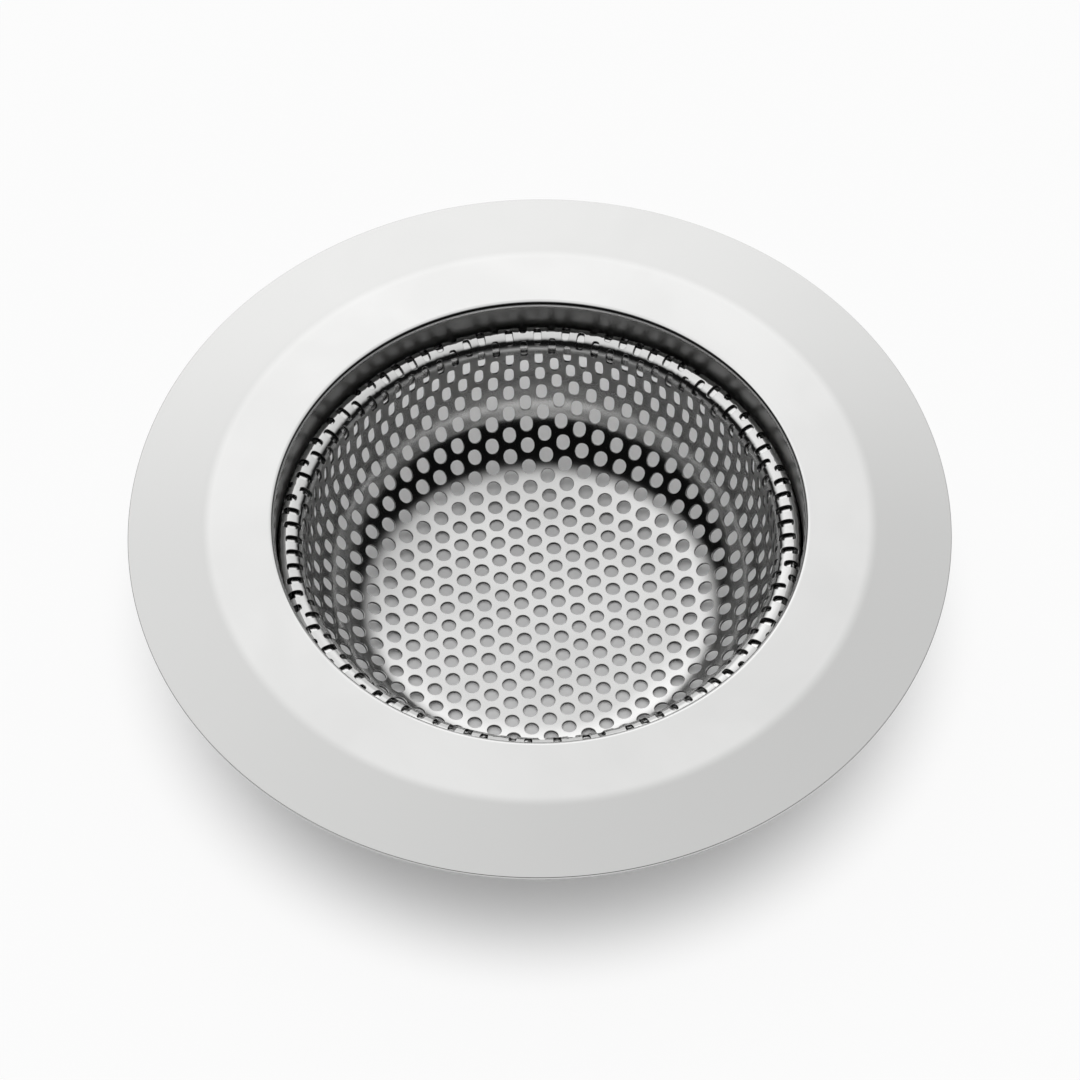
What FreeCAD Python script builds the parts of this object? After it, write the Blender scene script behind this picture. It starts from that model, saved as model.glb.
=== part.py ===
import FreeCAD, Part
import math
import os

import Sketcher
from FreeCAD import Vector

# A sink strainer of two sheet-metal pieces, standing on its floor with the axis on Z.
# rim: a wide stamped ring whose neck turns down at the mouth, hooks in and rolls over at its end.
# basket: a cup drawn from one perforated disc, its top edge rolled into a bead over that hook.

SIZES = (
    ("rim_diameter", "113", "outside of the rim"),
    ("rim_sheet", "0.5", "sheet of the rim"),
    ("rim_rise", "2.1", "mouth above the outer edge"),
    ("crease_diameter", "91.2", "soft crease between the rim's two bands"),
    ("crease_drop", "0.45", "crease below the mouth"),
    ("crease_radius", "18", "rounding of the crease"),
    ("mouth_diameter", "72.6", "inside of the neck"),
    ("mouth_bend", "0.8", "rounding from the rim into the neck"),
    ("lip_rise", "0.3", "end of the hook's roll above the middle of the bead"),
    ("basket_sheet", "0.4", "sheet of the basket"),
    ("basket_depth", "19.7", "floor to the top of the bead"),
    ("bead_drop", "4.6", "top of the bead below the mouth"),
    ("bead_radius", "1.85", "outside of the rolled bead"),
    ("corner_radius", "14.4", "inside of the drawn corner"),
    ("seam_gap", "0.25", "bead's leg to the neck"),
    ("seam_clearance", "0.1", "basket's bead to the hook that it is rolled over"),
    ("seat_clearance", "0.06", "end of the bead's leg to the hook's bend"),
    ("hole_diameter", "2", "holes of the flat perforated sheet"),
    ("hole_pitch", "3", "spacing of the holes in the flat sheet"),
    ("hole_margin", "0.3", "plain sheet left at the edge of the disc"),
    ("row_turn", "33.5", "degrees from X to a row of holes"),
    ("hole_shift_across", "0.03", "hole nearest to the axis, along X"),
    ("hole_shift_along", "0.73", "hole nearest to the axis, along Y"),
    ("closing_power", "2.3", "how much more a hole closes than the sheet round it, as a power"),
    ("stretch_power", "2", "how much more a hole lengthens than the sheet round it, as a power"),
    ("bead_reach_share", "0.85", "part of the bead's inside that a straight punch may take up"),
    ("punch_overrun", "0.4", "punches past both faces of the sheet"),
)

# Places that both pieces share, as expressions on the sheet of sizes.
LEG_RADIUS = "(sizes.mouth_diameter / 2 - sizes.seam_gap)"
BEAD_TOP = "(sizes.basket_sheet + sizes.basket_depth)"
BEAD_PLACE = f"({LEG_RADIUS} - sizes.bead_radius)"
BEAD_HEIGHT = f"({BEAD_TOP} - sizes.bead_radius)"
MOUTH_TOP = f"({BEAD_TOP} + sizes.bead_drop)"
LIP_RADIUS = "(sizes.bead_radius - sizes.basket_sheet - sizes.seam_clearance - sizes.rim_sheet)"
HOOK_RADIUS = f"((sizes.seam_gap + sizes.bead_radius + {LIP_RADIUS}) / 2)"
LEG_REACH = f"({HOOK_RADIUS} - sizes.seam_gap)"
LEG_END = f"({BEAD_HEIGHT} - sqrt({HOOK_RADIUS} ^ 2 - {LEG_REACH} ^ 2) + sizes.seat_clearance)"

# First guess of the crease's rise, as a share of the mouth's rounding, for the sketch to start from.
CREASE_GUESS_SHARE = 0.25

START, END, CENTRE = 1, 2, 3
AXIS_UP = -2
ORIGIN = (-1, 1)


def size_sheet(doc):
    """The driving sizes, in millimetres and degrees."""
    sheet = doc.addObject("Spreadsheet::Sheet", "sizes")
    for row, (alias, number, note) in enumerate(SIZES, 1):
        sheet.set(f"A{row}", note)
        sheet.set(f"B{row}", number)
        sheet.setAlias(f"B{row}", alias)
    doc.recompute()
    return sheet


def new_profile(doc, name):
    """A sketch on the XZ plane, for a half section."""
    sketch = doc.addObject("Sketcher::SketchObject", name)
    sketch.Placement = FreeCAD.Placement(Vector(0, 0, 0), FreeCAD.Rotation(Vector(1, 0, 0), 90))
    return sketch


def add_line(sketch, start, end):
    return sketch.addGeometry(Part.LineSegment(Vector(*start, 0), Vector(*end, 0)))


def add_arc(sketch, start, through, end):
    """An arc, whose START in a sketch is the end that it leaves anticlockwise."""
    return sketch.addGeometry(Part.Arc(Vector(*start, 0), Vector(*through, 0), Vector(*end, 0)))


def smooth(sketch, first, first_end, second, second_end):
    """Join two ends with a common tangent."""
    sketch.addConstraint(Sketcher.Constraint("Tangent", first, first_end, second, second_end))


def fix(sketch, name, kind, place, expression):
    """A named dimension from the origin, or a radius, that follows the sheet of sizes."""
    if kind == "Radius":
        constraint = Sketcher.Constraint(kind, place, sketch.Geometry[place].Radius)
    else:
        point = sketch.getPoint(*place)
        guess = point.x if kind == "DistanceX" else point.y
        constraint = Sketcher.Constraint(kind, *ORIGIN, *place, guess)
    index = sketch.addConstraint(constraint)
    sketch.renameConstraint(index, name)
    sketch.setExpression(f"Constraints.{name}", expression)


def revolved_sheet(doc, name, profile, thickness):
    """A sheet of a thickness on the far side of a profile, turned round Z."""
    section = doc.addObject("Part::Offset2D", name + "_section")
    section.Source = profile
    section.Mode = "Skin"
    section.Fill = True
    section.setExpression("Value", thickness)
    turned = doc.addObject("Part::Revolution", name)
    turned.Source = section
    turned.Axis = Vector(0, 0, 1)
    turned.Base = Vector(0, 0, 0)
    turned.Angle = 360
    turned.Solid = True
    return turned


def rim_profile(doc, sizes):
    """The rim's upper side: outer band, crease, inner band, neck, hook and the roll at its end."""
    sketch = new_profile(doc, "rim_profile")
    rim = float(sizes.rim_diameter) / 2
    crease = float(sizes.crease_diameter) / 2
    neck = float(sizes.mouth_diameter) / 2
    bend = float(sizes.mouth_bend)
    top = float(sizes.basket_sheet) + float(sizes.basket_depth) + float(sizes.bead_drop)
    low = top - float(sizes.crease_drop)
    bead = float(sizes.bead_radius)
    roll = bead - float(sizes.basket_sheet) - float(sizes.seam_clearance) - float(sizes.rim_sheet)
    hook = float(sizes.seam_gap) + bead + roll
    turned = float(sizes.basket_sheet) + float(sizes.basket_depth) - bead
    beside = neck + bend
    halfway = bend * math.sqrt(0.5)
    bent = low + bend * CREASE_GUESS_SHARE
    inside = neck - hook

    outer = add_line(sketch, (rim, top - float(sizes.rim_rise)), (crease + bend, low))
    soft = add_arc(sketch, (crease + bend, low), (crease, bent), (crease - bend, bent))
    inner = add_line(sketch, (crease - bend, bent), (beside, top))
    mouth = add_arc(sketch, (beside, top), (beside - halfway, top - bend + halfway), (neck, top - bend))
    wall = add_line(sketch, (neck, top - bend), (neck, turned))
    turn = add_arc(sketch, (neck, turned), (neck - hook / 2, turned - hook / 2), (inside, turned))
    lip = add_arc(sketch, (inside, turned), (inside + roll, turned + roll), (inside + 2 * roll, turned))
    corner = sketch.addGeometry(Part.Point(Vector(crease, low, 0)), True)

    smooth(sketch, outer, END, soft, START)
    smooth(sketch, soft, END, inner, START)
    smooth(sketch, inner, END, mouth, START)
    smooth(sketch, mouth, END, wall, START)
    smooth(sketch, wall, END, turn, END)
    smooth(sketch, turn, START, lip, END)
    for band in (outer, inner):
        sketch.addConstraint(Sketcher.Constraint("PointOnObject", corner, START, band))
    sketch.addConstraint(Sketcher.Constraint("Vertical", wall))
    fix(sketch, "rim_radius", "DistanceX", (outer, START), "sizes.rim_diameter / 2")
    fix(sketch, "edge_height", "DistanceY", (outer, START), f"{MOUTH_TOP} - sizes.rim_rise")
    fix(sketch, "crease_place", "DistanceX", (corner, START), "sizes.crease_diameter / 2")
    fix(sketch, "crease_height", "DistanceY", (corner, START), f"{MOUTH_TOP} - sizes.crease_drop")
    fix(sketch, "crease_rounding", "Radius", soft, "sizes.crease_radius")
    fix(sketch, "mouth_rounding", "Radius", mouth, "sizes.mouth_bend")
    fix(sketch, "mouth_height", "DistanceY", (mouth, CENTRE), f"{MOUTH_TOP} - sizes.mouth_bend")
    fix(sketch, "neck_radius", "DistanceX", (wall, START), "sizes.mouth_diameter / 2")
    fix(sketch, "hook_height", "DistanceY", (turn, CENTRE), BEAD_HEIGHT)
    fix(sketch, "lip_radius", "Radius", lip, LIP_RADIUS)
    fix(sketch, "lip_place", "DistanceX", (lip, CENTRE), BEAD_PLACE)
    fix(sketch, "lip_height", "DistanceY", (lip, CENTRE), BEAD_HEIGHT)
    fix(sketch, "lip_end", "DistanceY", (lip, START), f"{BEAD_HEIGHT} + sizes.lip_rise")
    return sketch


def basket_profile(doc, sizes):
    """The basket's visible side: floor, drawn corner, wall, rolled bead and its leg."""
    sketch = new_profile(doc, "basket_profile")
    sheet = float(sizes.basket_sheet)
    bead = float(sizes.bead_radius)
    corner = float(sizes.corner_radius)
    leg_place = float(sizes.mouth_diameter) / 2 - float(sizes.seam_gap)
    wall_place = leg_place - 2 * bead
    flat = wall_place - corner
    slope = corner * math.sqrt(0.5)
    wall_end = sheet + float(sizes.basket_depth) - bead

    floor = add_line(sketch, (0, sheet), (flat, sheet))
    bowl = add_arc(
        sketch, (flat, sheet), (flat + slope, sheet + corner - slope), (wall_place, sheet + corner))
    wall = add_line(sketch, (wall_place, sheet + corner), (wall_place, wall_end))
    roll = add_arc(
        sketch, (wall_place, wall_end), (wall_place + bead, wall_end + bead), (leg_place, wall_end))
    leg = add_line(sketch, (leg_place, wall_end), (leg_place, wall_end - bead))

    smooth(sketch, floor, END, bowl, START)
    smooth(sketch, bowl, END, wall, START)
    smooth(sketch, wall, END, roll, END)
    smooth(sketch, roll, START, leg, START)
    sketch.addConstraint(Sketcher.Constraint("PointOnObject", floor, START, AXIS_UP))
    sketch.addConstraint(Sketcher.Constraint("Horizontal", floor))
    for upright in (wall, leg):
        sketch.addConstraint(Sketcher.Constraint("Vertical", upright))
    fix(sketch, "floor_height", "DistanceY", (floor, START), "sizes.basket_sheet")
    fix(sketch, "bowl_radius", "Radius", bowl, "sizes.corner_radius")
    fix(sketch, "leg_radius", "DistanceX", (leg, START), LEG_RADIUS)
    fix(sketch, "wall_radius", "DistanceX", (wall, START), f"{LEG_RADIUS} - 2 * sizes.bead_radius")
    fix(sketch, "roll_height", "DistanceY", (roll, CENTRE), BEAD_HEIGHT)
    fix(sketch, "leg_end", "DistanceY", (leg, END), LEG_END)
    return sketch


class Drawing:
    """How the flat disc becomes the basket.

    The sheet keeps its thickness, so a ring of the disc and the ring it becomes have the same area.
    Half the square of a blank radius is therefore the area, per radian, of the basket inside it.
    """

    def __init__(self, profile):
        def datum(name):
            return profile.getDatum(name).Value

        self.floor_height = datum("floor_height")
        self.corner = datum("bowl_radius")
        self.wall = datum("wall_radius")
        self.leg = datum("leg_radius")
        self.bead = (self.leg - self.wall) / 2
        self.bead_centre = self.wall + self.bead
        self.flat = self.wall - self.corner
        self.corner_height = self.floor_height + self.corner
        self.bead_height = datum("roll_height")
        self.floor_area = self.flat ** 2 / 2
        self.corner_area = self.floor_area + self.corner_share(math.pi / 2)
        self.wall_area = self.corner_area + self.wall * (self.bead_height - self.corner_height)
        self.bead_area = self.wall_area + self.bead_share(math.pi)
        self.all_area = self.bead_area + self.leg * (self.bead_height - datum("leg_end"))

    def corner_share(self, angle):
        return self.corner * (self.flat * angle + self.corner * (1 - math.cos(angle)))

    def bead_share(self, angle):
        return self.bead * (self.bead_centre * angle - self.bead * math.sin(angle))

    def disc_radius(self):
        return math.sqrt(2 * self.all_area)

    def below_bead(self, blank_radius):
        """Length of sheet between a place on the wall and the bead; nothing on the bead."""
        return max(0, self.wall_area - blank_radius ** 2 / 2) / self.wall

    def place(self, blank_radius):
        """Radius, height and slope of the visible side at a radius of the flat disc."""
        area = blank_radius ** 2 / 2
        if area <= self.floor_area:
            return blank_radius, self.floor_height, 0
        if area <= self.corner_area:
            angle = solve(self.corner_share, area - self.floor_area, math.pi / 2)
            radius = self.flat + self.corner * math.sin(angle)
            return radius, self.corner_height - self.corner * math.cos(angle), angle
        if area <= self.wall_area:
            return self.wall, self.corner_height + (area - self.corner_area) / self.wall, math.pi / 2
        if area <= self.bead_area:
            angle = solve(self.bead_share, area - self.wall_area, math.pi)
            radius = self.bead_centre - self.bead * math.cos(angle)
            return radius, self.bead_height + self.bead * math.sin(angle), math.pi / 2 - angle
        return self.leg, self.bead_height - (area - self.bead_area) / self.leg, -math.pi / 2


def solve(rising, target, top):
    """The value between 0 and top at which a rising function reaches a target."""
    low, high = 0, top
    for _ in range(50):
        middle = (low + high) / 2
        if rising(middle) < target:
            low = middle
        else:
            high = middle
    return (low + high) / 2


def hole_places(sizes, reach):
    """Staggered rows of holes in the flat sheet, as blank radius and azimuth."""
    pitch = float(sizes.hole_pitch)
    row_step = pitch * math.sqrt(3) / 2
    turn = math.radians(float(sizes.row_turn))
    count = math.ceil(reach / row_step) + 1
    places = []
    for row in range(-count, count + 1):
        for step in range(-2 * count, 2 * count + 1):
            along = pitch * (step + row / 2)
            across = row_step * row
            x = along * math.cos(turn) - across * math.sin(turn) + float(sizes.hole_shift_across)
            y = along * math.sin(turn) + across * math.cos(turn) + float(sizes.hole_shift_along)
            if math.hypot(x, y) < reach:
                places.append((math.hypot(x, y), math.atan2(y, x)))
    return places


def punch(sizes, drawing, blank_radius, azimuth):
    """One drawn hole: a round hole of the disc, closed round the axis and stretched along the wall.

    The webs between the holes give way first, so a hole changes more than the sheet round it.
    """
    hole = float(sizes.hole_diameter) / 2
    sheet = float(sizes.basket_sheet)
    overrun = float(sizes.punch_overrun)
    radius, height, slope = drawing.place(blank_radius)
    narrowing = radius / blank_radius
    narrow = hole * narrowing ** float(sizes.closing_power)
    below_bead = drawing.below_bead(blank_radius)
    over_bead = (drawing.bead - sheet) * float(sizes.bead_reach_share)
    to_edge = (drawing.disc_radius() - float(sizes.hole_margin) - blank_radius) / narrowing
    stretched = hole / narrowing ** float(sizes.stretch_power)
    long = min(stretched, below_bead + over_bead, to_edge)
    depth = sheet + overrun
    if long > below_bead:
        depth = drawing.bead

    outward = Vector(math.cos(azimuth), math.sin(azimuth), 0)
    around = Vector(-math.sin(azimuth), math.cos(azimuth), 0)
    up = Vector(0, 0, 1)
    along = outward * math.cos(slope) + up * math.sin(slope)
    facing = up * math.cos(slope) - outward * math.sin(slope)
    start = outward * radius + up * height + facing * overrun
    if slope == 0:
        return Part.makeCylinder(hole, overrun + depth, start, -facing)
    outline = Part.Ellipse(start + along * long, start + around * narrow, start)
    return Part.Face(Part.Wire(outline.toShape())).extrude(-facing * (overrun + depth))


def perforated_basket(doc, sizes, profile, cup):
    """The drawn cup with every hole of the perforated sheet in its drawn place."""
    drawing = Drawing(profile)
    reach = drawing.disc_radius() - float(sizes.hole_margin) - float(sizes.hole_diameter) / 4
    punches = [punch(sizes, drawing, *place) for place in hole_places(sizes, reach)]
    basket = doc.addObject("Part::Feature", "basket")
    basket.Shape = cup.Shape.cut(punches).Solids[0]
    basket.Placement = FreeCAD.Placement()
    print("holes", len(punches), "in a disc of radius", round(drawing.disc_radius(), 2))
    return basket


def check(doc, parts):
    """Stop if anything failed to build."""
    for thing in doc.Objects:
        if "Invalid" in thing.State or "Error" in thing.State:
            raise RuntimeError(f"{thing.Name} failed: {thing.State}")
    for part in parts:
        if part.Shape.isNull() or not part.Shape.isValid() or len(part.Shape.Solids) != 1:
            raise RuntimeError(f"{part.Label} isn't one valid solid")


def main():
    doc = FreeCAD.newDocument("sink_strainer")
    sizes = size_sheet(doc)
    rim = revolved_sheet(doc, "rim", rim_profile(doc, sizes), "sizes.rim_sheet")
    profile = basket_profile(doc, sizes)
    cup = revolved_sheet(doc, "drawn_cup", profile, "-sizes.basket_sheet")
    doc.recompute()
    basket = perforated_basket(doc, sizes, profile, cup)
    doc.recompute()
    parts = (rim, basket)
    check(doc, parts)
    os.makedirs("parts", exist_ok=True)
    for part in parts:
        part.Shape.exportStep(f"parts/{part.Label}.step")
        print(part.Label, "volume", round(part.Shape.Volume, 2), part.Shape.BoundBox)


main()
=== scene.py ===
"""Sink strainer of pressed steel: a polished rim folded under round a perforated basket.

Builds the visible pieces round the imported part, gives them their finish and sets the stage.
Lengths are metres and angles radians, in the part's own frame.
"""

import math

import bpy
import numpy as np
from bpy.props import FloatProperty, FloatVectorProperty, IntProperty, PointerProperty
from mathutils import Matrix, Vector


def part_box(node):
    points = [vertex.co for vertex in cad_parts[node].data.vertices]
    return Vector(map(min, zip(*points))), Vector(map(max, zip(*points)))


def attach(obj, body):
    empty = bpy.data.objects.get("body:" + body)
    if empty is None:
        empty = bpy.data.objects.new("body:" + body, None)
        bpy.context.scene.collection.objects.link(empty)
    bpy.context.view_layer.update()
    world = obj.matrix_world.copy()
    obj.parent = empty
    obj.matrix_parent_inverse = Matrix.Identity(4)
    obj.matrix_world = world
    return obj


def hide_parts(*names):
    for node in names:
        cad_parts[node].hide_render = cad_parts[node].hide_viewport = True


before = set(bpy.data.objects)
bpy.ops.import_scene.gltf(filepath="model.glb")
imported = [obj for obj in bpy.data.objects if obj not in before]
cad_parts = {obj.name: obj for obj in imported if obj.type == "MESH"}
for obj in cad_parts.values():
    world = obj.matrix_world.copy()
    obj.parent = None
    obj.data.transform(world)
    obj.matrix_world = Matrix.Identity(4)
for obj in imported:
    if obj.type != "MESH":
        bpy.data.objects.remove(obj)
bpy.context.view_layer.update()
RIM_LOW, RIM_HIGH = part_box("rim")
BASKET_LOW, BASKET_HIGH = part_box("basket")

bl_info = {
    "name": "Sink strainer",
    "version": (1, 0, 0),
    "blender": (4, 5, 0),
    "location": "View3D > Sidebar > Strainer",
    "description": "Rim, perforated basket and stage of a sink strainer",
    "category": "Object",
}

HALF_TURN = math.pi
QUARTER_TURN = math.pi / 2
SIXTH_TURN = math.pi / 3
FULL_TURN = 2 * math.pi
ROW_SHARE = math.sqrt(3) / 2
SAME_PLACE = 1e-7
# How far the bead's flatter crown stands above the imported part's round bead
CROWN_LIFT = 0.0005
# Noise that shows as haze and as scuffs, and the scuffs' scale beside the grain's
HAZE_RANGE = (0.36, 0.68)
SCUFF_RANGE = (0.62, 0.74)
SCUFF_SCALE_SHARE = 0.35
# Radius of the circle that grain round the axis follows through the noise
GRAIN_TURN = 0.0022
# Spacing of nodes in the editor
NODE_WIDTH, NODE_HEIGHT = 200, 180


# Sizes and colours that a user can change

def length(name, description, default):
    """A length in metres, shown to a hundredth of a millimetre."""
    return FloatProperty(name=name, description=description, default=default,
                         unit="LENGTH", precision=5)


def number(name, description, default):
    """A plain number."""
    return FloatProperty(name=name, description=description, default=default)


def span(name, description, default, unit="NONE"):
    """Two numbers or two angles: where something is gone, and where it is whole."""
    return FloatVectorProperty(name=name, description=description, default=default,
                               size=2, unit=unit)


def share(name, description, default):
    """A share between nought and one."""
    return FloatProperty(name=name, description=description, default=default,
                         min=0.0, max=1.0, subtype="FACTOR")


def angle(name, description, default):
    """An angle in radians, shown in degrees."""
    return FloatProperty(name=name, description=description, default=default,
                         unit="ROTATION")


def colour(name, description, default):
    """A colour without its alpha."""
    return FloatVectorProperty(name=name, description=description, default=default,
                               size=3, min=0.0, max=1.0, subtype="COLOR")


class RimSizes(bpy.types.PropertyGroup):
    """Flange that lies on the sink, its neck and the fold that holds the basket."""

    diameter: length("Diameter", "Across the outer edge", RIM_HIGH.x - RIM_LOW.x)
    top: length("Top", "Height of the highest line round the mouth", RIM_HIGH.z)
    sheet: length("Sheet", "Thickness of the steel", 0.0005)
    rise: length("Rise", "From the outer edge up to the mouth", 0.0021)
    crease_diameter: length("Crease diameter", "Ring where the flange bends down", 0.0912)
    crease_drop: length("Crease drop", "From the mouth down to the crease", 0.00045)
    crease_radius: length("Crease radius", "Bend at the crease", 0.018)
    mouth_diameter: length("Mouth", "Inside of the neck", 0.0726)
    mouth_bend: length("Mouth bend", "Bend from the flange into the neck", 0.0008)
    fold_width: length("Fold width", "Inside of the fold under the basket's bead", 0.00295)
    fold_radius: length("Fold radius", "Bends of the fold", 0.001275)
    roll_width: length("Roll width", "Rolled end that lies along the bead's top", 0.0016)
    roll_low: length("Roll start", "Height where the rolled end turns outwards", 0.01920)
    roll_high: length("Roll end", "Height of the rolled end's edge", 0.0196)
    roll_bend: length("Roll bend", "Bend where the rolled end turns outwards", 0.001)
    edge_round: length("Edge rounding", "Rounding of the trimmed edges", 0.00012)
    segments: IntProperty(name="Segments", description="Steps round the axis",
                          default=288, min=24)


class BasketSizes(bpy.types.PropertyGroup):
    """Bowl drawn from perforated sheet, with a bead rolled at its top."""

    sheet: length("Sheet", "Thickness of the steel", 0.0004)
    top: length("Top", "Height of the bead", BASKET_HIGH.z + CROWN_LIFT)
    reach: length("Reach", "Radius of the edge that the rim's fold holds", 0.03595)
    wall: length("Wall", "Radius of the wall's inside", 0.03235)
    bead_radius: length("Bead radius", "Bend from the wall into the rolled bead", 0.0018)
    crown_radius: length("Crown radius", "Flatter top of the bead", 0.0035)
    crown_start: angle("Crown start", "Turn from the wall to the bead's top", math.radians(62))
    crown_end: angle("Crown end", "Turn from the wall to the bead's shoulder", math.radians(84))
    corner_radius: length("Corner radius", "Inside bend from the floor to the wall", 0.0144)
    leg_end: length("Leg end", "Height of the edge in the rim's fold", 0.018476)
    hole_diameter: length("Hole", "Holes in the flat sheet", 0.002)
    hole_pitch: length("Pitch", "Between neighbouring holes", 0.003)
    hole_edge: length("Hole edge", "Rounding of the punched edges", 0.00006)
    hole_margin: length("Margin", "Unpunched strip at the sheet's edge", 0.0003)
    closing_power: number("Closing", "How much more a hole closes than the sheet round it", 2.3)
    stretch_power: number("Stretch", "How much more a hole lengthens than the sheet", 2.0)
    bead_stretch: number("Bead stretch", "The same for the holes of the bead", 1.0)
    squareness: number("Squareness", "How square a hole gets where the sheet is drawn most", 7.0)
    row_turn: angle("Row turn", "Direction of the rows of holes", math.radians(33.5))
    hole_shift: FloatVectorProperty(
        name="Shift", description="Hole nearest to the axis",
        default=(0.00003, 0.00073), size=2, unit="LENGTH", precision=5)


class SteelFinish(bpy.types.PropertyGroup):
    """Colours and gloss of the steel."""

    rim_colour: colour("Rim", "Polished flange", (0.685, 0.685, 0.68))
    rim_haze: colour("Rim haze", "Flange where it is handled", (0.655, 0.655, 0.65))
    # The outer band's darker colour is painted shade, for the steeper flange outside the crease that
    # catches less light.
    band_shade_colour: colour("Outer band", "Flange outside its crease", (0.558, 0.558, 0.553))
    band_shade_edge: length("Band edge", "From the crease to where the outer band's tone is whole", 0.0008)
    neck_colour: colour("Neck", "Drawn inside of the neck", (0.52, 0.52, 0.515))
    basket_colour: colour("Basket", "Sheet of the basket", (0.62, 0.62, 0.615))
    basket_haze: colour("Basket haze", "Basket where water has dried", (0.57, 0.57, 0.565))
    # The sheared edges' colours are darker than bare steel: partly the duller sheared face, partly
    # painted shade for the dark crescents in the holes.
    edge_colour_and_shade: colour("Cut edge", "Sheared edges", (0.16, 0.16, 0.16))
    edge_haze_and_shade: colour("Cut edge haze", "Torn part of sheared edges", (0.10, 0.10, 0.10))
    rim_gloss: share("Rim roughness", "Blur of the flange's reflections", 0.17)
    neck_gloss: share("Neck roughness", "Blur of the neck's reflections", 0.46)
    basket_gloss: share("Basket roughness", "Blur of the basket's reflections", 0.13)
    wall_gloss: share("Wall roughness", "Further blur on the basket's wall", 0.16)
    edge_gloss: share("Edge roughness", "Blur on the sheared edges", 0.42)


class Studio(bpy.types.PropertyGroup):
    """Camera, surroundings and floor."""

    camera_height: angle("Camera height", "Above the horizon", 0.96888)
    camera_roll: angle("Camera roll", "Turn about the line of sight", 0.010288)
    camera_distance: length("Camera distance", "From the aim to the camera", 0.81341)
    focal_pixels: number("Focal length", "In pixels of the picture", 5931.0)
    picture_pixels: number("Picture", "Side of the picture in pixels", 1080.0)
    aim_pixel: FloatVectorProperty(name="Aim pixel", description="Where the aim shows",
                                   default=(539.56, 525.20), size=2)
    aim_height: length("Aim height", "Height of the aim on the axis", 0.0226)
    floor_size: length("Floor", "Side of the floor", 6.0)
    floor_colour: colour("Floor colour", "Pale floor", (0.96, 0.96, 0.96))
    # The floor's glow is painted light that rises with the distance from the axis.
    painted_floor_glow: share("Floor glow", "Share of plain white that shows in the open floor", 0.92)
    shade_reach: length("Shade reach", "Radius of the floor's full shade under the strainer", 0.040)
    shade_edge: length("Shade edge", "Radius where the floor's shade has faded", 0.062)
    box_height: angle("Softbox height", "Middle of the softbox above the horizon", 1.09)
    box_reach: angle("Softbox reach", "From the middle of the softbox to its edge", math.radians(41.2))
    box_fade: angle("Softbox fade", "Half the width of the softbox's soft edge", math.radians(11.2))
    box_level: number("Softbox level", "Brightness of the softbox", 1.02)
    back_lean: number("Back lean", "Brightness that the softbox gains towards the back", 0.24)
    left_lean: number("Left lean", "Brightness that the softbox gains towards the left", 0.36)
    foot_gain: number("Foot gain", "Further brightness towards the softbox's foot", 1.28)
    foot_span: span("Foot span", "How far back a ray points where that is gone and whole", (0.93, 0.82))
    dark_level: number("Dark level", "Brightness of the dark side", 0.005)
    horizon_level: number("Horizon level", "Brightness low down all round", 0.35)
    horizon_span: span("Horizon span", "Heights where the pale horizon is gone and whole",
                       (math.radians(16), math.radians(8)), "ROTATION")
    back_level: number("Back level", "Brightness of the wall behind", 1.0)
    back_span: span("Back span", "How far back a ray points where that is gone and whole", (0.80, 0.90))
    floor_light: number("Floor light", "Low light all round for the floor", 1.3)
    light_span: span("Floor light span", "Heights where the floor's light is gone and whole",
                     (math.radians(34), math.radians(20)), "ROTATION")


# Outlines and turned sheets

def unit(vector):
    """The vector with a length of one."""
    return vector / np.hypot(*vector)


def right_of(direction):
    """The direction turned a quarter clockwise, which is the outside of an outline."""
    return np.array([direction[1], -direction[0]])


def backed(corners, sheet):
    """Corners and bends of the sheet's back, in reverse order, one sheet behind the front."""
    back = []
    for index, (point, bend) in enumerate(corners):
        before = corners[max(index - 1, 0)][0]
        after = corners[min(index + 1, len(corners) - 1)][0]
        into = unit(point - before) if index else unit(after - point)
        out = unit(after - point) if index < len(corners) - 1 else into
        front = right_of(into) + right_of(out)
        offset = front / (1 + right_of(into) @ right_of(out))
        left_turn = into[0] * out[1] - into[1] * out[0]
        change = -sheet if left_turn > 0 else sheet
        ends = index in (0, len(corners) - 1)
        back.append((point - sheet * offset, bend if ends else bend + change))
    return back[::-1]


def rounded(corners, arc_step=math.radians(7.5)):
    """Points and outward normals along a closed outline whose corners are arcs."""
    points, normals = [], []
    for index, (corner, radius) in enumerate(corners):
        into = unit(corner - corners[index - 1][0])
        out = unit(corners[(index + 1) % len(corners)][0] - corner)
        start = math.atan2(into[1], into[0])
        turn = math.atan2(into[0] * out[1] - into[1] * out[0], into @ out)
        side = math.copysign(1.0, turn)
        first = corner - into * radius * math.tan(abs(turn) / 2)
        centre = first - side * radius * right_of(into)
        steps = max(2, math.ceil(abs(turn) / arc_step))
        for step in range(steps + 1):
            heading = start + turn * step / steps
            outward = right_of((math.cos(heading), math.sin(heading)))
            point = centre + side * radius * outward
            if not points or np.hypot(*(point - points[-1])) > SAME_PLACE:
                points.append(point)
                normals.append(outward)
    return np.array(points), np.array(normals)


def turned(profile, segments):
    """Vertices, quads and normals of a closed outline turned about the axis."""
    points, normals = profile
    angles = np.arange(segments) * FULL_TURN / segments
    around = np.stack([np.cos(angles), np.sin(angles)], axis=-1)[:, None, :]

    def swept(outline):
        level = np.broadcast_to(outline[None, :, 1:], (segments, len(outline), 1))
        return np.concatenate([around * outline[None, :, :1], level], axis=-1).reshape(-1, 3)

    count = len(points)
    ring, step = np.meshgrid(np.arange(segments), np.arange(count), indexing="ij")
    ring_next, step_next = (ring + 1) % segments, (step + 1) % count
    quads = np.stack([ring * count + step, ring_next * count + step,
                      ring_next * count + step_next, ring * count + step_next], axis=-1)
    return swept(points), quads.reshape(-1, 4), swept(normals)


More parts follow.
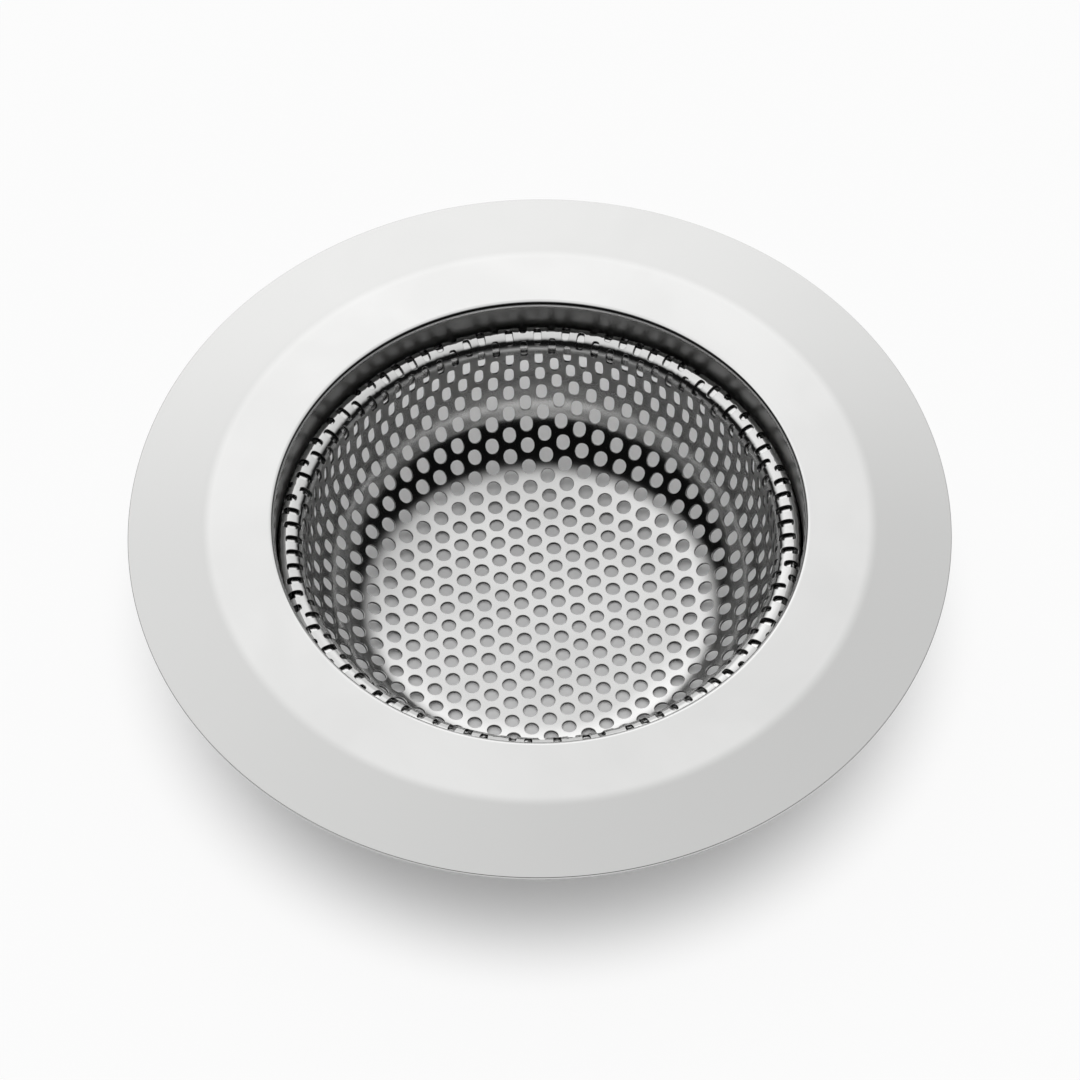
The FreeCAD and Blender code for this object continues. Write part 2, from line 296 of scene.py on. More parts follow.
def rim_outline(rim):
    """Front of the flange, neck, fold and rolled end from the outer edge on, then the back."""
    radius, mouth, crease = rim.diameter / 2, rim.mouth_diameter / 2, rim.crease_diameter / 2
    crease_height = rim.top - rim.crease_drop
    # The flange meets the mouth's bend where a line from the crease touches it.
    away = np.array([crease - mouth - rim.mouth_bend, crease_height - rim.top + rim.mouth_bend])
    slope = QUARTER_TURN - math.atan2(away[1], away[0]) - math.acos(rim.mouth_bend / np.hypot(*away))
    mouth_height = crease_height + math.tan(slope) * (crease - mouth)
    inside = mouth - rim.fold_width
    outside, fold = inside + rim.roll_width, RIM_LOW.z + rim.sheet
    front = [
        (np.array([radius, rim.top - rim.rise]), rim.edge_round),
        (np.array([crease, crease_height]), rim.crease_radius),
        (np.array([mouth, mouth_height]), rim.mouth_bend),
        (np.array([mouth, fold]), rim.fold_radius),
        (np.array([inside, fold]), rim.fold_radius),
        (np.array([inside, rim.roll_low]), rim.roll_bend),
        (np.array([outside, rim.roll_high]), rim.edge_round),
    ]
    return rounded(front + backed(front, rim.sheet))


# Perforated sheet drawn into the basket

class Drawing:
    """Where each point of the flat disc goes when it is drawn without getting thinner."""

    samples = 2001

    def __init__(self, basket):
        self.corner, self.wall, self.leg = basket.corner_radius, basket.wall, basket.reach
        self.floor = BASKET_LOW.z + basket.sheet
        self.flat = self.wall - self.corner
        self.corner_height = self.floor + self.corner
        bends = self.bends = np.linspace(0, QUARTER_TURN, self.samples)
        # Half of the squared radius in the flat disc stands for the area inside it.
        self.floor_area = self.flat ** 2 / 2
        self.corner_area = self.floor_area + self.corner * (
            self.flat * bends + self.corner * (1 - np.cos(bends)))
        self.roll_bead(basket)
        bead_height = basket.top - self.bead_rise.max()
        self.bead_rise += bead_height
        self.wall_area = self.corner_area[-1] + self.wall * (bead_height - self.corner_height)
        self.bead_area += self.wall_area
        self.disc_area = self.bead_area[-1] + self.leg * (self.bead_rise[-1] - basket.leg_end)
        self.disc_radius = math.sqrt(2 * self.disc_area)

    def roll_bead(self, basket):
        """Turns, radii, heights and areas along the bead: inner bend, flat crown, tight shoulder."""
        turns = [0.0, basket.crown_start, basket.crown_end, HALF_TURN]
        widths = -np.diff(np.cos(turns))
        bends = [basket.bead_radius, basket.crown_radius]
        bends.append((self.leg - self.wall - widths[:2] @ bends) / widths[2])
        radius, rise, area = self.wall, 0.0, 0.0
        arcs = []
        for start, end, bend in zip(turns, turns[1:], bends):
            roll = np.linspace(start, end, self.samples)
            centre, lift = radius + bend * math.cos(start), rise - bend * math.sin(start)
            swept = area + bend * (centre * (roll - start) - bend * (np.sin(roll) - math.sin(start)))
            arcs.append([roll, centre - bend * np.cos(roll), lift + bend * np.sin(roll), swept])
            radius, rise, area = (values[-1] for values in arcs[-1][1:])
        self.rolls, self.bead_reach, self.bead_rise, self.bead_area = np.concatenate(arcs, axis=1)

    def place(self, flat_radius):
        """Radius, height and slope of the front of the sheet at a radius of the flat disc."""
        area = flat_radius ** 2 / 2
        bend = np.interp(area, self.corner_area, self.bends)
        roll, reach, rise = (np.interp(area, self.bead_area, values)
                             for values in (self.rolls, self.bead_reach, self.bead_rise))
        zones = [area <= self.floor_area, area <= self.corner_area[-1],
                 area <= self.wall_area, area <= self.bead_area[-1]]
        radius = np.select(zones, [
            flat_radius, self.flat + self.corner * np.sin(bend),
            np.full_like(area, self.wall), reach], self.leg)
        height = np.select(zones, [
            np.full_like(area, self.floor), self.corner_height - self.corner * np.cos(bend),
            self.corner_height + (area - self.corner_area[-1]) / self.wall, rise],
            self.bead_rise[-1] - (area - self.bead_area[-1]) / self.leg)
        slope = np.select(zones, [
            np.zeros_like(area), bend, np.full_like(area, QUARTER_TURN),
            QUARTER_TURN - roll], -QUARTER_TURN)
        return radius, height, slope

    def lift(self, flat):
        """Points and normals of the drawn sheet's front for points of the flat disc."""
        flat_radius = np.hypot(flat[:, 0], flat[:, 1])
        direction = flat / np.maximum(flat_radius, SAME_PLACE)[:, None]
        radius, height, slope = self.place(flat_radius)
        points = np.column_stack([direction * radius[:, None], height])
        normals = np.column_stack([-direction * np.sin(slope)[:, None], np.cos(slope)])
        return points, normals


class Cells:
    """Six-sided cells of the flat disc, with a hole in each one that has room for most of it."""

    sides = 24
    # Share of a hole's diameter that has to fit beyond its centre for the hole to be punched
    room_share = 0.25
    # Shares of a hole's rounded edge that tell slivers and points on the disc's edge
    sliver_share = 0.01
    touch_share = 0.1

    def __init__(self, basket, drawing):
        self.edge = basket.hole_edge
        self.disc_radius = disc_radius = drawing.disc_radius
        pitch = basket.hole_pitch
        step = FULL_TURN / self.sides
        self.angles = basket.row_turn + np.arange(self.sides) * step
        self.spokes = np.stack([np.cos(self.angles), np.sin(self.angles)], axis=-1)
        fold = (np.arange(self.sides) * step + SIXTH_TURN / 2) % SIXTH_TURN - SIXTH_TURN / 2
        self.border = (pitch / 2 / np.cos(fold))[:, None]
        centres = self.centres(basket, disc_radius + pitch)
        outer = np.hypot(*centres.T) + self.room_share * basket.hole_diameter
        room = outer + basket.hole_margin < disc_radius
        self.holes, self.plain = centres[room], centres[~room]
        self.bores = self.hole_outlines(basket, drawing, 0.0)
        self.weave(self.hole_outlines(basket, drawing, self.edge))

    def centres(self, basket, reach):
        """Staggered rows of hole centres out to a radius."""
        count = math.ceil(reach / (basket.hole_pitch * ROW_SHARE)) + 1
        across, along = np.meshgrid(np.arange(-2 * count, 2 * count + 1),
                                    np.arange(-count, count + 1))
        rows = np.column_stack([(across + along / 2).ravel(), (along * ROW_SHARE).ravel()])
        cosine, sine = math.cos(basket.row_turn), math.sin(basket.row_turn)
        spun = rows * basket.hole_pitch @ np.array([[cosine, sine], [-sine, cosine]])
        placed = spun + np.array(basket.hole_shift)
        return placed[np.hypot(*placed.T) < reach]

    def ring(self, centres, reach):
        """Points round each centre, out to a reach along each spoke."""
        return centres[:, None, :] + reach * self.spokes

    def hole_outlines(self, basket, drawing, growth):
        """Outlines in the flat disc that the draw turns into narrow, long and squarer holes."""
        flat_radius = np.hypot(*self.holes.T)
        narrowing = (drawing.place(flat_radius)[0] / flat_radius)[:, None]
        turn = self.angles - np.arctan2(self.holes[:, 1], self.holes[:, 0])[:, None]
        power = 2 + basket.squareness * (1 - narrowing)
        size = (np.abs(np.cos(turn)) ** power + np.abs(np.sin(turn)) ** power) ** (-1 / power)
        hole = basket.hole_diameter / 2
        on_bead = (flat_radius ** 2 / 2 > drawing.wall_area)[:, None]
        stretch = np.where(on_bead, basket.bead_stretch, basket.stretch_power)
        outward = (hole * narrowing ** (1 - stretch) + growth) * size * np.cos(turn)
        room = self.disc_radius - basket.hole_margin - flat_radius[:, None]
        outward = np.minimum(outward, room + growth)
        around = (hole * narrowing ** (basket.closing_power - 1) + growth) * size * np.sin(turn)
        heading = (self.holes / flat_radius[:, None])[:, None, :]
        aside = np.stack([-heading[..., 1], heading[..., 0]], axis=-1)
        return self.holes[:, None, :] + outward[..., None] * heading + around[..., None] * aside

    def weave(self, hole_edges):
        """Joins the cells at their borders and trims them to the disc."""
        rings = [hole_edges, self.ring(self.holes, self.border),
                 self.ring(self.plain, self.border), self.ring(self.plain, self.border / 2),
                 np.repeat(self.plain[:, None, :], self.sides, axis=1)]
        flat = np.concatenate([ring.reshape(-1, 2) for ring in rings])
        radius = np.hypot(*flat.T)
        flat *= np.minimum(1.0, self.disc_radius / np.maximum(radius, SAME_PLACE))[:, None]
        keys = np.round(flat / SAME_PLACE).astype(np.int64)
        _, first, index = np.unique(keys, axis=0, return_index=True, return_inverse=True)
        index = index.ravel()
        self.flat = flat[first]
        ends = np.cumsum([ring.shape[0] * self.sides for ring in rings])
        parts = [part.reshape(-1, self.sides) for part in np.split(index, ends[:-1])]
        self.hole_ring, hole_border, plain_border, plain_middle, plain_centre = parts
        bands = [(self.hole_ring, hole_border), (plain_middle, plain_border),
                 (plain_centre, plain_middle)]
        self.faces = self.trimmed(np.concatenate([self.band(*pair) for pair in bands]))
        self.disc_edges = self.open_edges()

    def band(self, inner, outer):
        """Quads between two rings."""
        after_inner, after_outer = np.roll(inner, -1, axis=1), np.roll(outer, -1, axis=1)
        return np.stack([inner, outer, after_outer, after_inner], axis=-1).reshape(-1, 4)

    def trimmed(self, quads):
        """The quads with some area left after the trim, with repeated corners dropped."""
        corner = self.flat[quads]
        turn = np.roll(corner, -1, axis=1)
        area = np.abs((corner[..., 0] * turn[..., 1] - corner[..., 1] * turn[..., 0]).sum(axis=1)) / 2
        faces = []
        for quad in quads[area > self.sliver_share * self.edge ** 2].tolist():
            faces.append([v for place, v in enumerate(quad) if v != quad[place - 1]])
        return [face for face in faces if len(set(face)) == len(face) > 2]

    def open_edges(self):
        """Directed edges along the disc's own edge."""
        pairs = {(a, b) for face in self.faces for a, b in zip(face, face[1:] + face[:1])}
        rim = np.hypot(*self.flat.T) > self.disc_radius - self.touch_share * self.edge
        return sorted(pair for pair in pairs
                      if pair[::-1] not in pairs and rim[pair[0]] and rim[pair[1]])


def perforated_basket(basket):
    """Vertices, faces, normals and the number of the first sheared face of the basket."""
    drawing = Drawing(basket)
    cells = Cells(basket, drawing)
    front, outward = drawing.lift(cells.flat)
    back = front - basket.sheet * outward
    hole_count, sides = cells.hole_ring.shape
    bore, bore_out = drawing.lift(cells.bores.reshape(-1, 2))
    bores = bore.reshape(hole_count, sides, 3)
    onward = (np.roll(bores, -1, axis=1) - np.roll(bores, 1, axis=1)).reshape(-1, 3)
    inward = np.cross(bore_out, onward)
    inward /= np.linalg.norm(inward, axis=1)[:, None]
    upper = bore - basket.hole_edge * bore_out
    lower = bore - (basket.sheet - basket.hole_edge) * bore_out
    vertices = np.concatenate([front, back, upper, lower])
    normals = np.concatenate([outward, -outward, inward, inward])
    count = len(front)
    bore_ring = 2 * count + np.arange(hole_count * sides).reshape(-1, sides)
    rings = [cells.hole_ring, bore_ring, bore_ring + hole_count * sides, cells.hole_ring + count]

    def wall(high, low):
        return np.stack([high, np.roll(high, -1, axis=1), np.roll(low, -1, axis=1), low],
                        axis=-1).reshape(-1, 4).tolist()

    faces = cells.faces + [[v + count for v in face[::-1]] for face in cells.faces]
    faces += wall(rings[0], rings[1]) + wall(rings[2], rings[3])
    sheared = len(faces)
    faces += wall(rings[1], rings[2])
    faces += [[a, a + count, b + count, b] for a, b in cells.disc_edges]
    return vertices, faces, normals, sheared


def piece(name, vertices, faces, normals, materials, slots):
    """A smooth piece of the strainer, with a material slot for each face."""
    mesh = bpy.data.meshes.new(name)
    mesh.from_pydata(vertices.tolist(), [], faces)
    mesh.shade_smooth()
    for material in materials:
        mesh.materials.append(material)
    mesh.polygons.foreach_set("material_index", slots.astype(np.int32))
    mesh.normals_split_custom_set_from_vertices(normals.tolist())
    if mesh.validate():
        raise RuntimeError(name + " had faces that do not hold together")
    made = bpy.data.objects.new(name, mesh)
    bpy.context.scene.collection.objects.link(made)
    return made


# Finishes

def add_node(tree, kind, place, **settings):
    """A node at a place of the tree, with settings by attribute or by input name."""
    made = tree.nodes.new(kind)
    made.location = (place[0] * NODE_WIDTH, -place[1] * NODE_HEIGHT)
    for key, value in settings.items():
        if hasattr(made, key):
            setattr(made, key, value)
        else:
            made.inputs[key.replace("_", " ")].default_value = value
    return made


def ramp(tree, place, value, start, end, whole=1.0):
    """Nought at start, rising softly to the whole at end."""
    made = add_node(tree, "ShaderNodeMapRange", place, interpolation_type="SMOOTHSTEP",
                    From_Min=start, From_Max=end, To_Max=whole)
    tree.links.new(value, made.inputs["Value"])
    return made.outputs["Result"]


def combine(tree, place, operation, *values):
    """A sum, product or maximum of values, each one a socket or a number."""
    made = add_node(tree, "ShaderNodeMath", place, operation=operation)
    for taken, value in zip(made.inputs, values):
        if isinstance(value, float):
            taken.default_value = value
        else:
            tree.links.new(value, taken)
    return made.outputs[0]


def sheet_marks():
    """Group of marks in steel sheet: fine grain along one way, soft haze and light scuffs."""
    found = bpy.data.node_groups.get("Sheet marks")
    if found:
        return found
    tree = bpy.data.node_groups.new("Sheet marks", "ShaderNodeTree")
    inputs = {"Along": "Vector", "Place": "Vector", "Grain Scale": "Float", "Haze Scale": "Float"}
    for name, kind in inputs.items():
        tree.interface.new_socket(name=name, in_out="INPUT", socket_type="NodeSocket" + kind)
    for name in ("Grain", "Haze", "Scuffs"):
        tree.interface.new_socket(name=name, in_out="OUTPUT", socket_type="NodeSocketFloat")
    given = add_node(tree, "NodeGroupInput", (0, 1)).outputs
    join = tree.links.new

    def noise(place, along, scale, **settings):
        """Noise at coordinates and a scale that come from sockets."""
        made = add_node(tree, "ShaderNodeTexNoise", place, **settings)
        join(along, made.inputs["Vector"])
        join(scale, made.inputs["Scale"])
        return made.outputs["Fac"]

    coarse = combine(tree, (0, 2), "MULTIPLY", given["Grain Scale"], SCUFF_SCALE_SHARE)
    grain = noise((1, 0), given["Along"], given["Grain Scale"], Detail=3.0, Roughness=0.6)
    cloud = noise((1, 1), given["Place"], given["Haze Scale"],
                  Detail=4.0, Roughness=0.55, Distortion=0.4)
    streaks = noise((1, 2), given["Along"], coarse, Detail=2.0, Roughness=0.5)
    haze = ramp(tree, (2, 1), cloud, *HAZE_RANGE)
    scuffs = combine(tree, (3, 2), "MULTIPLY", ramp(tree, (2, 2), streaks, *SCUFF_RANGE), haze)
    result = add_node(tree, "NodeGroupOutput", (4, 1)).inputs
    join(grain, result["Grain"])
    join(haze, result["Haze"])
    join(scuffs, result["Scuffs"])
    return tree


def round_the_axis(tree):
    """Coordinates that run along circles about the axis: radius first, then a slow turn."""
    place = add_node(tree, "ShaderNodeTexCoord", (-5, 0))
    flat = add_node(tree, "ShaderNodeVectorMath", (-4, 0), operation="MULTIPLY")
    flat.inputs[1].default_value = (1.0, 1.0, 0.0)
    radius = add_node(tree, "ShaderNodeVectorMath", (-3, 0), operation="LENGTH")
    heading = add_node(tree, "ShaderNodeVectorMath", (-3, 1), operation="NORMALIZE")
    slow = add_node(tree, "ShaderNodeVectorMath", (-2, 1), operation="SCALE", Scale=GRAIN_TURN)
    split = add_node(tree, "ShaderNodeSeparateXYZ", (-2, 2))
    whole = add_node(tree, "ShaderNodeCombineXYZ", (-1, 0))
    join = tree.links.new
    join(place.outputs["Object"], flat.inputs[0])
    join(flat.outputs["Vector"], radius.inputs[0])
    join(flat.outputs["Vector"], heading.inputs[0])
    join(heading.outputs["Vector"], slow.inputs[0])
    join(slow.outputs["Vector"], split.inputs["Vector"])
    join(radius.outputs["Value"], whole.inputs["X"])
    join(split.outputs["X"], whole.inputs["Y"])
    join(split.outputs["Y"], whole.inputs["Z"])
    return whole.outputs["Vector"], place.outputs["Object"]


def straight_across(tree, stretch):
    """Coordinates squeezed by a stretch for each axis, so that marks run long one way."""
    place = add_node(tree, "ShaderNodeTexCoord", (-5, 0))
    squeezed = add_node(tree, "ShaderNodeVectorMath", (-3, 0), operation="MULTIPLY")
    squeezed.inputs[1].default_value = stretch
    tree.links.new(place.outputs["Object"], squeezed.inputs[0])
    return squeezed.outputs["Vector"], place.outputs["Object"]


def banded(tree, along, inner, start, end, outer):
    """A colour that gives way to an outer one between two values of the first coordinate; on the rim the
    outer one is a painted shade.
    """
    split = add_node(tree, "ShaderNodeSeparateXYZ", (0, -1))
    mixed = add_node(tree, "ShaderNodeMix", (2, 0), data_type="RGBA", B=(*outer, 1.0))
    tree.links.new(along, split.inputs["Vector"])
    tree.links.new(ramp(tree, (1, -1), split.outputs["X"], start, end), mixed.inputs["Factor"])
    tree.links.new(inner, mixed.inputs["A"])
    return mixed.outputs["Result"]


def softened(tree, place, rough, added, *heights):
    """A roughness with more added, nought and whole at two heights below and at two above."""
    split = add_node(tree, "ShaderNodeSeparateXYZ", (0, 3))
    tree.links.new(place, split.inputs["Vector"])
    above = ramp(tree, (1, 3), split.outputs["Z"], *heights[:2])
    below = ramp(tree, (1, 4), split.outputs["Z"], *heights[2:])
    both = combine(tree, (2, 3), "MULTIPLY", above, below)
    return combine(tree, (3, 2), "MULTIPLY_ADD", both, added, rough)


def steel(name, coordinates, tones, gloss, grain_scale, haze_scale, grain_depth, spread,
          band=None, softer=None):
    """Bare steel whose colour, gloss and fine relief follow the marks in the sheet.

    A band is a start, an end and a colour that takes over between them along the first coordinate; the
    rim's band is painted shade.
    Softer is an added roughness, with the four heights between which it comes and goes.
    """
    material = bpy.data.materials.new(name)
    material.use_nodes = True
    tree = material.node_tree
    surface = tree.nodes["Principled BSDF"].inputs
    surface["Metallic"].default_value = 1.0
    along, place = coordinates(tree)
    marks = add_node(tree, "ShaderNodeGroup", (0, 0), node_tree=sheet_marks(),
                     Grain_Scale=grain_scale, Haze_Scale=haze_scale)
    tint = add_node(tree, "ShaderNodeMix", (1, 0), data_type="RGBA",
                    A=(*tones[0], 1.0), B=(*tones[1], 1.0))
    blur = add_node(tree, "ShaderNodeMapRange", (1, 1), To_Min=gloss - spread, To_Max=gloss + spread)
    relief = add_node(tree, "ShaderNodeBump", (1, 2), Distance=grain_depth, Strength=1.0)
    join = tree.links.new
    join(along, marks.inputs["Along"])
    join(place, marks.inputs["Place"])
    join(marks.outputs["Haze"], tint.inputs["Factor"])
    join(marks.outputs["Haze"], blur.inputs["Value"])
    join(marks.outputs["Grain"], relief.inputs["Height"])
    tone = tint.outputs["Result"]
    rough = combine(tree, (2, 1), "MULTIPLY_ADD", marks.outputs["Scuffs"], spread, blur.outputs["Result"])
    if band:
        tone = banded(tree, along, tone, *band)
    if softer:
        rough = softened(tree, place, rough, *softer)
    join(tone, surface["Base Color"])
    join(rough, surface["Roughness"])
    join(relief.outputs["Normal"], surface["Normal"])
    return material


def cut_edge(finish):
    """Sheared steel of the punched and trimmed edges, its dull tone darkened further as painted shade
    inside the holes.
    """
    return steel("Sheared edge", lambda tree: straight_across(tree, (1.0, 1.0, 0.12)),
                 (finish.edge_colour_and_shade, finish.edge_haze_and_shade), finish.edge_gloss,
                 grain_scale=14000.0, haze_scale=900.0, grain_depth=0.000004, spread=0.08)


# Operators, one for each piece and one for the stage

class STRAINER_OT_add_rim(bpy.types.Operator):
    """Add the polished rim"""

    bl_idname = "strainer.add_rim"
    bl_label = "Rim"

    def execute(self, context):
        finish = context.scene.strainer_finish
        rim = context.scene.strainer_rim
        crease = rim.crease_diameter / 2
        # The darker outer band beyond the crease is painted shade.
        polish = steel("Polished flange", round_the_axis, (finish.rim_colour, finish.rim_haze),
                       finish.rim_gloss, grain_scale=9000.0, haze_scale=45.0,
                       grain_depth=0.0000006, spread=0.02,
                       band=(crease - finish.band_shade_edge, crease + finish.band_shade_edge, finish.band_shade_colour))
        vertices, quads, normals = turned(rim_outline(rim), rim.segments)
        neck = steel("Drawn neck", round_the_axis, (finish.neck_colour, finish.rim_haze),
                     finish.neck_gloss, grain_scale=5000.0, haze_scale=60.0,
                     grain_depth=0.000001, spread=0.04)
        middle = vertices[quads].mean(axis=1)
        radius = np.hypot(middle[:, 0], middle[:, 1])
        neck_radius = rim.mouth_diameter / 2 + rim.sheet / 2
        upright = (middle[:, 2] > rim.roll_low) & (middle[:, 2] < rim.top - rim.mouth_bend)
        slots = upright & (np.abs(radius - neck_radius) < rim.sheet)
        made = piece("strainer_rim", vertices, quads.tolist(), normals, [polish, neck], slots)
        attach(made, "root")
        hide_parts("rim")
        return {"FINISHED"}


class STRAINER_OT_add_basket(bpy.types.Operator):
    """Add the perforated basket"""

    bl_idname = "strainer.add_basket"
    bl_label = "Basket"

    def execute(self, context):
        finish = context.scene.strainer_finish
        basket = context.scene.strainer_basket
        drawn = steel("Drawn sheet", lambda tree: straight_across(tree, (0.05, 1.0, 1.0)),
                      (finish.basket_colour, finish.basket_haze), finish.basket_gloss,
                      grain_scale=6000.0, haze_scale=70.0, grain_depth=0.0000008, spread=0.03,
                      softer=(finish.wall_gloss, basket.corner_radius / 3, basket.corner_radius,
                              basket.top - basket.sheet, basket.top - basket.bead_radius / 2))
        vertices, faces, normals, sheared = perforated_basket(basket)
        slots = np.arange(len(faces)) >= sheared
        made = piece("strainer_basket", vertices, faces, normals, [drawn, cut_edge(finish)], slots)
        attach(made, "root")
        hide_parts("basket")
        return {"FINISHED"}


class STRAINER_OT_set_stage(bpy.types.Operator):
    """Set the camera, the floor and the light"""

    bl_idname = "strainer.set_stage"
    bl_label = "Stage"

    def execute(self, context):
        studio = context.scene.strainer_studio
        context.scene.view_settings.view_transform = "Standard"
        place_camera(context.scene, studio)
        lay_floor(context.scene, studio)
        paint_surroundings(context.scene, studio)
        return {"FINISHED"}


def place_camera(scene, studio):
    """Camera on the near side, looking down so that the aim shows at its pixel."""
    camera = bpy.data.cameras.new("Camera")
    camera.lens = studio.focal_pixels / studio.picture_pixels * camera.sensor_width
    made = bpy.data.objects.new("Camera", camera)
    scene.collection.objects.link(made)
    stand = (Matrix.Rotation(QUARTER_TURN - studio.camera_height, 3, "X")
             @ Matrix.Rotation(-studio.camera_roll, 3, "Z"))
    middle = studio.picture_pixels / 2
    metres = studio.camera_distance / studio.focal_pixels
    aside = (studio.aim_pixel[0] - middle) * metres
    above = (middle - studio.aim_pixel[1]) * metres
    aim = Vector((0.0, 0.0, studio.aim_height))
    made.matrix_world = (Matrix.Translation(aim - stand @ Vector((aside, above, -studio.camera_distance)))
                         @ stand.to_4x4())
    scene.camera = made


def pale_rays(tree, place):
    """One for rays from the camera and for rays seen in metal or through glass."""
    path = add_node(tree, "ShaderNodeLightPath", place).outputs
    mirrored = combine(tree, (place[0] + 1, place[1]), "MAXIMUM",
                       path["Is Glossy Ray"], path["Is Transmission Ray"])
    return combine(tree, (place[0] + 2, place[1]), "MAXIMUM", path["Is Camera Ray"], mirrored)


def lay_floor(scene, studio):
    """Pale floor with plain white painted on beyond a radius from the axis, so that the strainer's soft
    shade shows only inside that radius.
    """
    half = studio.floor_size / 2
    mesh = bpy.data.meshes.new("Floor")
    mesh.from_pydata([(-half, -half, 0), (half, -half, 0), (half, half, 0), (-half, half, 0)],
                     [], [(0, 1, 2, 3)])
    floor = bpy.data.objects.new("Floor", mesh)
    scene.collection.objects.link(floor)
    material = bpy.data.materials.new("Pale floor")
    material.use_nodes = True
    tree = material.node_tree
    paper = tree.nodes["Principled BSDF"]
    paper.inputs["Base Color"].default_value = (*studio.floor_colour, 1.0)
    paper.inputs["Roughness"].default_value = 1.0
    paper.inputs["Specular IOR Level"].default_value = 0.0
    white = add_node(tree, "ShaderNodeEmission", (0, 2), Strength=1.0)
    place = add_node(tree, "ShaderNodeTexCoord", (-3, 4))
    radius = add_node(tree, "ShaderNodeVectorMath", (-2, 4), operation="LENGTH")
    mixed = add_node(tree, "ShaderNodeMixShader", (2, 1))
    join = tree.links.new
    join(place.outputs["Object"], radius.inputs[0])
    # Painted light: the share of plain white grows with the distance from the axis, which ends the
    # strainer's shade at a ring.
    glow_by_radius = ramp(tree, (-1, 4), radius.outputs["Value"], studio.shade_reach, studio.shade_edge,
                    studio.painted_floor_glow)
    join(combine(tree, (1, 3), "MULTIPLY", pale_rays(tree, (-2, 3)), glow_by_radius), mixed.inputs[0])
    join(paper.outputs[0], mixed.inputs[1])
    join(white.outputs[0], mixed.inputs[2])
    join(mixed.outputs[0], tree.nodes["Material Output"].inputs["Surface"])
    mesh.materials.append(material)


def softbox(tree, studio, where, across, back):
    """Brightness of the round softbox, which gets paler towards its back, its foot and the left."""
    facing = add_node(tree, "ShaderNodeVectorMath", (-4, 0), operation="DOT_PRODUCT")
    facing.inputs[1].default_value = (0.0, math.cos(studio.box_height), math.sin(studio.box_height))
    tree.links.new(where, facing.inputs[0])
    disc = ramp(tree, (-3, 0), facing.outputs["Value"], math.cos(studio.box_reach + studio.box_fade),
                math.cos(studio.box_reach - studio.box_fade))
    below = combine(tree, (-4, 2), "SUBTRACT", back, math.cos(studio.camera_height))
    rising = combine(tree, (-3, 2), "MAXIMUM", below, 0.0)
    foot = combine(tree, (-2, 1), "MULTIPLY", rising, ramp(tree, (-3, 1), back, *studio.foot_span))
    paler = combine(tree, (-2, 2), "MULTIPLY", foot, studio.foot_gain)
    toward_back = combine(tree, (-3, 3), "MULTIPLY", back, studio.back_lean)
    toward_left = combine(tree, (-3, 4), "MULTIPLY", across, -studio.left_lean)
    lean = combine(tree, (-2, 3), "ADD", toward_back, toward_left)
    slant = combine(tree, (-1, 3), "ADD", lean, paler)
    level = combine(tree, (0, 3), "ADD", slant, studio.box_level)
    return combine(tree, (0, 1), "MULTIPLY", disc, level)


def pale_horizon(tree, studio, up, matt_ray):
    """Brightness low down all round: a pale band in the steel, and a higher one that lights the floor."""
    low = ramp(tree, (-3, 6), up, *map(math.sin, studio.horizon_span))
    around = ramp(tree, (-3, 8), up, *map(math.sin, studio.light_span))
    mixed = add_node(tree, "ShaderNodeMix", (-1, 8), data_type="FLOAT")
    join = tree.links.new
    join(matt_ray, mixed.inputs["Factor"])
    join(combine(tree, (-2, 6), "MULTIPLY", low, studio.horizon_level), mixed.inputs["A"])
    join(combine(tree, (-2, 8), "MULTIPLY", around, studio.floor_light), mixed.inputs["B"])
    return mixed.outputs["Result"]


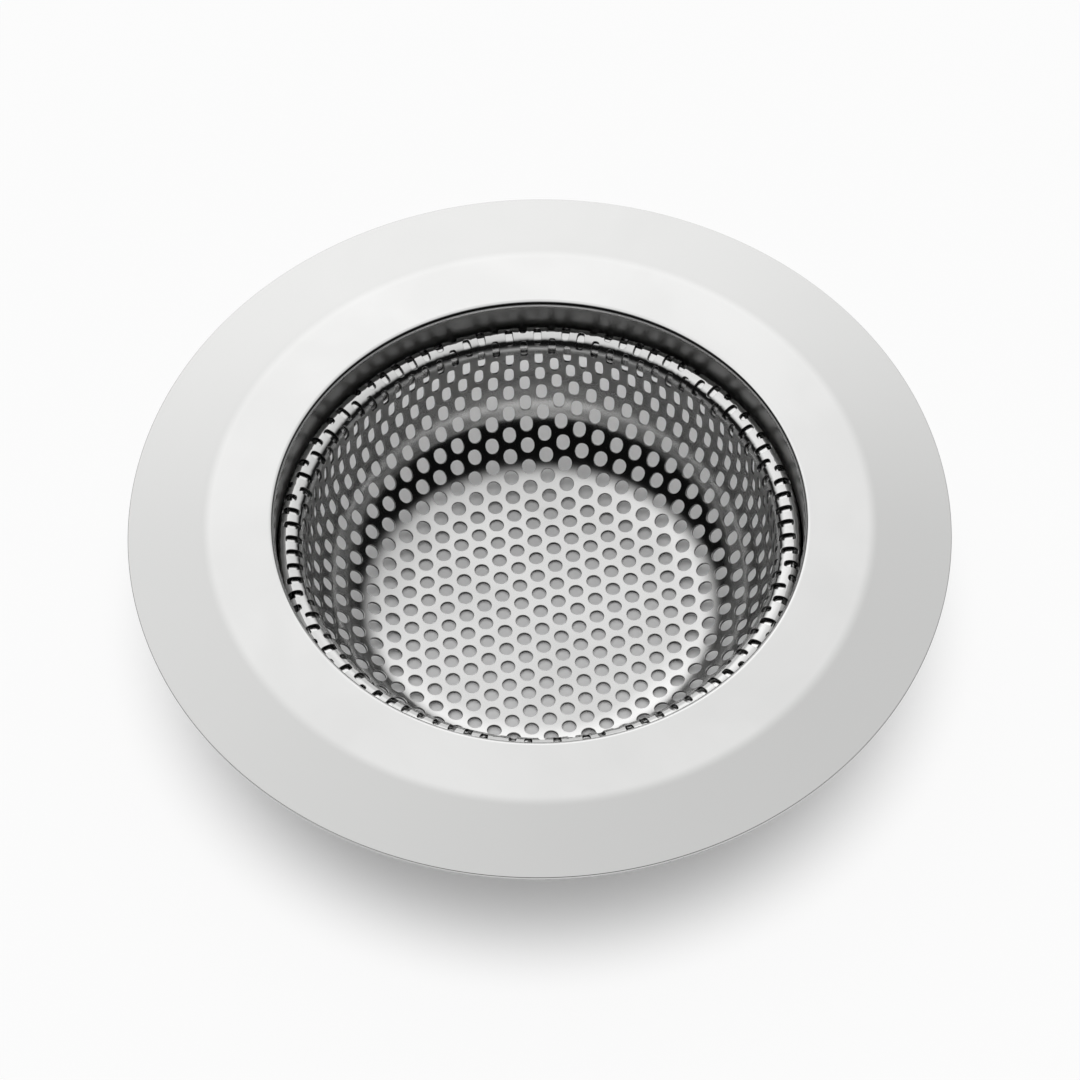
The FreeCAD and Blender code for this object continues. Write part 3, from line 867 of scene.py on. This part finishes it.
def paint_surroundings(scene, studio):
    """A large round softbox above and behind the strainer, in a dark room with a pale horizon."""
    world = bpy.data.worlds.new("Studio")
    scene.world = world
    world.use_nodes = True
    tree = world.node_tree
    tree.nodes.clear()
    join = tree.links.new
    where = add_node(tree, "ShaderNodeTexCoord", (-6, 0)).outputs["Generated"]
    split = add_node(tree, "ShaderNodeSeparateXYZ", (-5, 0))
    join(where, split.inputs["Vector"])
    across, back, up = split.outputs
    path = add_node(tree, "ShaderNodeLightPath", (-2, 10)).outputs
    panel = softbox(tree, studio, where, across, back)
    behind = combine(tree, (0, 5), "MULTIPLY", ramp(tree, (-1, 5), back, *studio.back_span),
                     studio.back_level)
    horizon = pale_horizon(tree, studio, up, path["Is Diffuse Ray"])
    pale = combine(tree, (0, 2), "MAXIMUM", panel, behind)
    lit = combine(tree, (1, 2), "MAXIMUM", pale, horizon)
    room = combine(tree, (2, 2), "MAXIMUM", lit, studio.dark_level)
    plain = add_node(tree, "ShaderNodeMix", (3, 2), data_type="FLOAT", B=1.0)
    join(path["Is Camera Ray"], plain.inputs["Factor"])
    join(room, plain.inputs["A"])
    light = add_node(tree, "ShaderNodeBackground", (4, 2), Color=(1.0, 1.0, 1.0, 1.0))
    join(plain.outputs["Result"], light.inputs["Strength"])
    join(light.outputs[0], add_node(tree, "ShaderNodeOutputWorld", (5, 2)).inputs["Surface"])


class VIEW3D_PT_strainer(bpy.types.Panel):
    """Sidebar panel with the strainer's pieces and sizes."""

    bl_label = "Sink strainer"
    bl_space_type = "VIEW_3D"
    bl_region_type = "UI"
    bl_category = "Strainer"

    def draw(self, context):
        layout = self.layout
        for operator in (STRAINER_OT_add_rim, STRAINER_OT_add_basket, STRAINER_OT_set_stage):
            layout.operator(operator.bl_idname)
        for group in GROUPS:
            box = layout.box()
            values = getattr(context.scene, group)
            for name in values.bl_rna.properties.keys():
                if name not in ("rna_type", "name"):
                    box.prop(values, name)


GROUPS = {
    "strainer_rim": RimSizes,
    "strainer_basket": BasketSizes,
    "strainer_finish": SteelFinish,
    "strainer_studio": Studio,
}
CLASSES = (*GROUPS.values(), STRAINER_OT_add_rim, STRAINER_OT_add_basket,
           STRAINER_OT_set_stage, VIEW3D_PT_strainer)


def register():
    for each in CLASSES:
        bpy.utils.register_class(each)
    for name, group in GROUPS.items():
        setattr(bpy.types.Scene, name, PointerProperty(type=group))


def unregister():
    for name in GROUPS:
        delattr(bpy.types.Scene, name)
    for each in reversed(CLASSES):
        bpy.utils.unregister_class(each)


def main():
    register()
    bpy.ops.strainer.add_rim()
    bpy.ops.strainer.add_basket()
    bpy.ops.strainer.set_stage()


if __name__ == "__main__":
    main()
